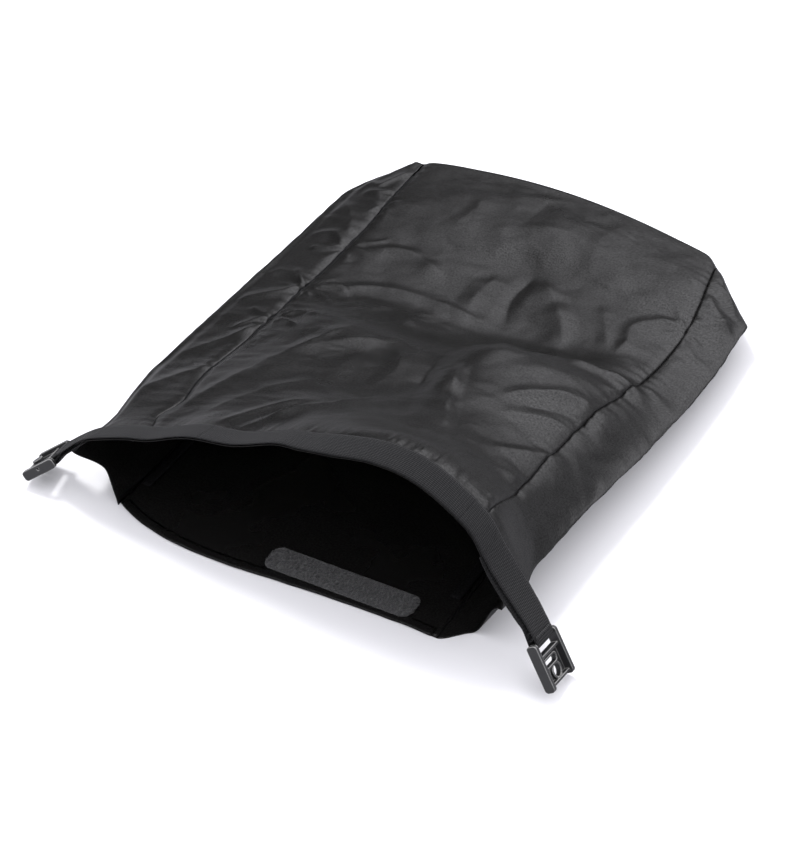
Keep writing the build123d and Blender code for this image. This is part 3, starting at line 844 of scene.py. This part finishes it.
def tail(hand, x_end, step, origin, u, w, slack, drift):
    """Webbing from the lip to a buckle half, with its bar tack.
    u runs out along the buckle half and w stands up from its face."""
    name, body = "tail_strap_" + hand, hand + "_tail"
    u = np.array(u, float) / np.linalg.norm(u)
    w = w - (w @ u) * u
    w /= np.linalg.norm(w)
    side = np.cross(w, u)
    side = side if side[1] > 0 else -side
    bar = np.array(origin, float) + u * 3.0 - w * 4.0
    C, W = part_of_lip(x_end - step * 9, x_end)
    tan = C[-1] - C[-2]
    tan /= np.linalg.norm(tan)
    # the top ply meets the loop on its upper side
    join = bar + w * LOOP_R - u * 1.0
    C, W = tail_run(C[-1], tan, W[-1] / np.linalg.norm(W[-1]), join, bar, side, u, w, slack, drift)
    ob, _ = strap(name, C, W, TAIL_THICK)
    finish_piece(ob, MAT_WEB, body, "webbing", hand + "_tail_webbing")
    # bar tack: zigzag of thread across the two plies, plus frayed ends
    tack = join - u * 5.0 + w * 0.75
    verts, faces = [], []
    for i in range(22):
        c = -10.5 + 21.0 * i / 21
        z = 1.1 if i % 2 else -1.1
        thread(verts, faces, tack + side * c - u * z, tack + side * (c + 1.0) + u * z, 0.32, w)
    fray = np.random.default_rng(len(name))
    for i in range(9):
        at = -12.6 if i % 3 else 12.4
        p = tack + side * at - u * fray.uniform(-1.0, 6.0) - w * fray.uniform(0.4, 2.2)
        q = p + side * math.copysign(fray.uniform(1.0, 2.6), at)
        q = q + u * fray.uniform(-1.6, 1.6) - w * fray.uniform(0, 1.4)
        thread(verts, faces, p, q, 0.09, w)
    ob = new_object(name + "_tack", to_frame(np.array(verts)), faces)
    finish_piece(ob, MAT_THREAD, body, "thread", hand + "_tail_bartack")


tail("left", LIP_FROM + 1.0, -1, (-193.0, -20.0, 27.2), np.array((-0.76, -0.235, -0.606)),
     np.array((-0.62, 0.02, 0.784)), 0.8, -1.5)
tail("right", LIP_TO - 1.0, 1, (221.4, -40.2, 37.9), np.array((0.53, -0.128, -0.838)),
     np.array((0.846, 0.08, 0.527)), 0.9, -2.5)


# ---------------------------------------------------------------- tapes and bindings
BINDING_THICK = 0.7


def under_cloth(name, r0, r1, c0, c1, gap, thick, mat, slot, node):
    """Layer sewn inside the cloth, following a patch of its grid."""
    patch = slice(r0, r1 + 1), slice(c0, c1 + 1)
    ob = slab_object(name, (P - normals(P) * gap)[patch], UVG[patch], thick)
    finish_piece(ob, mat, "bag", slot, node, squash=True)


def nearest_row(y, col):
    return int(np.argmin(np.abs(P[:, col, 1] - y)))


def nearest_col(x, r):
    return int(np.argmin(np.abs(P[r, UP_COLS, 0] - x))) + UP_COLS.start


mid_col = (COL_L + COL_R) // 2 * MUL
under_cloth("loop_strip", nearest_row(-28, mid_col), nearest_row(-9, mid_col), nearest_col(-8, 4),
            nearest_col(112, 4), 0.9, 1.3, MAT_PILE, "hook_and_loop", "loop_tape")
for hand, col in (("left", COL_L), ("right", COL_R)):
    under_cloth("binding_front_" + hand, nearest_row(24, mid_col), NVF - 6 * MUL, (col - 1) * MUL,
                (col + 1) * MUL, 0.8, BINDING_THICK, MAT_TAPE, "binding", f"front_{hand}_binding")


def floor_binding(hand, side):
    """Straight binding inside a seam of the back panel."""
    z, y1 = 2.6, far_y(side * 130.0) - 14.0
    ends = [np.array([[side * x, 0.0, z], [side * x, y1, z]]) for x in (135.0, 127.0)]
    out, _ = resample(ends[0], 2.0)
    s = distance_along(ends[1])
    into = follow(np.linspace(0, 1, len(out)) * s[-1], s, ends[1])
    t = np.linspace(0, 1, 5)[:, None, None]
    G = out[None] * (1 - t) + into[None] * t
    G[..., 2] += 0.15 * wander(G[..., 0], G[..., 1], 30.0, 41)
    ob = slab_object("binding_back_" + hand, G, G[..., :2], BINDING_THICK)
    finish_piece(ob, MAT_TAPE, "bag", "binding", f"back_{hand}_binding")


# hem: a rolled edge along the lip of the back panel, as steps (in y, in z) across it
HEM = ((-0.6, 0.7), (-0.9, 1.2), (-0.6, 1.9), (0.4, 2.2), (2.0, 2.0), (5.0, 1.8), (8.0, 1.7))
hx = np.linspace(-134, 134, 60)
G = np.stack([np.c_[hx, back_lip(hx) + dy, np.full(hx.shape, z)] for dy, z in HEM])
G[..., 2] += 0.25 * wander(G[..., 0], G[..., 1] * 0, 24.0, 43)
hem = slab_object("hem_strip", G, G[..., :2], 0.5)
finish_piece(hem, MAT_SHELL, "bag", "shell_fabric", "back_lip_hem")
floor_binding("left", -1)
floor_binding("right", 1)
low, high = (P[NVF - 1 - k * MUL, (COL_L + 4) * MUL : (COL_R - 4) * MUL + 1] for k in (4, 2))
G = np.stack([low - [0, 0, 3.0], (low + high) / 2 - [0, 0, 3.2], high - [0, 0, 3.4]])
base = slab_object("binding_base", G, G[..., :2], 0.8)
finish_piece(base, MAT_TAPE, "bag", "binding", "base_binding", squash=True)

# fuzzy hook tape with rounded ends, in the place of its CAD solid
tape_lo, tape_hi = (np.array(v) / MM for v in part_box("hook_tape"))
mid_x, mid_y = (tape_lo[0] + tape_hi[0]) / 2, (tape_lo[1] + tape_hi[1]) / 2 - MOUTH
half_x, half_y = (tape_hi[0] - tape_lo[0]) / 2, (tape_hi[1] - tape_lo[1]) / 2
ROUND = 7.0
gx = np.linspace(-half_x, half_x, 150)[None]
gt = np.linspace(-1, 1, 34)[:, None]
end = np.clip((np.abs(gx) - (half_x - ROUND)) / ROUND, 0, 1)
gy = mid_y + gt * (half_y - ROUND * (1 - np.sqrt(1 - end**2)))
gx = np.broadcast_to(gx, gy.shape) + mid_x
tuft = 0.55 * rng.standard_normal(gy.shape) + 0.5 * crumple(gx, gy, 6.0, 91)
gz = 3.3 + tuft * (1 - np.abs(gt) ** 8) - 0.9 * (np.abs(gt) ** 10)
tape = slab_object("hook_strip", np.stack([gx, gy, gz], -1), np.stack([gx, gy], -1), 1.2)
finish_piece(tape, MAT_PILE, "bag", "hook_and_loop", "hook_tape")

# moulded buckle parts keep their CAD shape
for n in ("buckle_socket", "buckle_plug", "buckle_latch"):
    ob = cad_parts[n]
    ob.data.materials.clear()
    ob.data.materials.append(MAT_PLASTIC)
    bevel = ob.modifiers.new("edge", "BEVEL")
    bevel.width = 0.0004
    bevel.segments = 3
    bevel.limit_method = "ANGLE"

# ---------------------------------------------------------------- camera, stage, light
CAM_ELEVATION, CAM_AZIMUTH = math.radians(37.73), math.radians(28.99)
CAM_DISTANCE = 2.12
CAM_TARGET = Vector((-0.002, 0.159 + MOUTH * MM, 0))
SENSOR, LENS = 36.0, 116.7247           # millimetres
FLOOR_HALF = 4
SKY_AXIS = Vector((0.25, 0.38, 0.89)).normalized()


def link(name, data):
    ob = bpy.data.objects.new(name, data)
    bpy.context.scene.collection.objects.link(ob)
    ob.rotation_mode = "QUATERNION"
    return ob


def floor():
    """White paper, darker to reflections so that low angles don't shine on the cloth."""
    h = FLOOR_HALF
    me = bpy.data.meshes.new("floor")
    me.from_pydata([(-h, -h, 0), (h, -h, 0), (h, h, 0), (-h, h, 0)], [], [(0, 1, 2, 3)])
    m, nt, bsdf = node_material("floor_paper")
    glossy = add(nt, "ShaderNodeLightPath").outputs["Is Glossy Ray"]
    tone = blend_colours(nt, glossy, (0.86, 0.86, 0.88), (0.25, 0.25, 0.26))
    nt.links.new(tone, bsdf.inputs["Base Color"])
    bsdf.inputs["Roughness"].default_value = 0.9
    me.materials.append(m)
    link("floor", me)


def camera():
    e, a = CAM_ELEVATION, CAM_AZIMUTH
    away = Vector((math.sin(a) * math.cos(e), -math.cos(a) * math.cos(e), math.sin(e)))
    data = bpy.data.cameras.new("camera")
    data.sensor_width = SENSOR
    data.lens = LENS
    cam = link("camera", data)
    cam.location = CAM_TARGET + away * CAM_DISTANCE
    cam.rotation_quaternion = (-away).to_track_quat("-Z", "Y")
    bpy.context.scene.camera = cam


def lamp(name, at, size, power):
    """Soft lamp aimed at the origin. Reflections see the sky instead of it."""
    data = bpy.data.lights.new(name, "AREA")
    data.shape = "RECTANGLE"
    data.size, data.size_y = size
    data.energy = power
    ob = link(name, data)
    ob.visible_glossy = False
    ob.location = at
    ob.rotation_quaternion = (-Vector(at)).to_track_quat("-Z", "Y")


def sky():
    """Even fill; reflections see a soft light that brightens towards SKY_AXIS."""
    world = bpy.data.worlds.new("world")
    bpy.context.scene.world = world
    world.use_nodes = True
    world.cycles.sampling_method = "NONE"
    nt = world.node_tree
    toward = add(nt, "ShaderNodeVectorMath", operation="DOT_PRODUCT")
    nt.links.new(add(nt, "ShaderNodeTexCoord").outputs["Generated"], toward.inputs[0])
    toward.inputs[1].default_value = SKY_AXIS
    seen = remap(nt, toward.outputs["Value"], 0.50, 1.0, 0.08, 2.5, "SMOOTHSTEP")
    strength = add(nt, "ShaderNodeMix", data_type="FLOAT")
    strength.inputs[2].default_value = 1.5
    nt.links.new(add(nt, "ShaderNodeLightPath").outputs["Is Glossy Ray"], strength.inputs[0])
    nt.links.new(seen, strength.inputs[3])
    light = nt.nodes["Background"]
    light.inputs[0].default_value = (0.965, 0.96, 1.0, 1)
    nt.links.new(strength.outputs[0], light.inputs[1])


floor()
camera()
lamp("top", (-0.95, 0.55, 2.1), (0.5, 0.5), 34)
lamp("back", (-1.1, 2.0, 1.0), (1.4, 0.7), 4)
sky()
bpy.context.scene.view_settings.view_transform = "Standard"
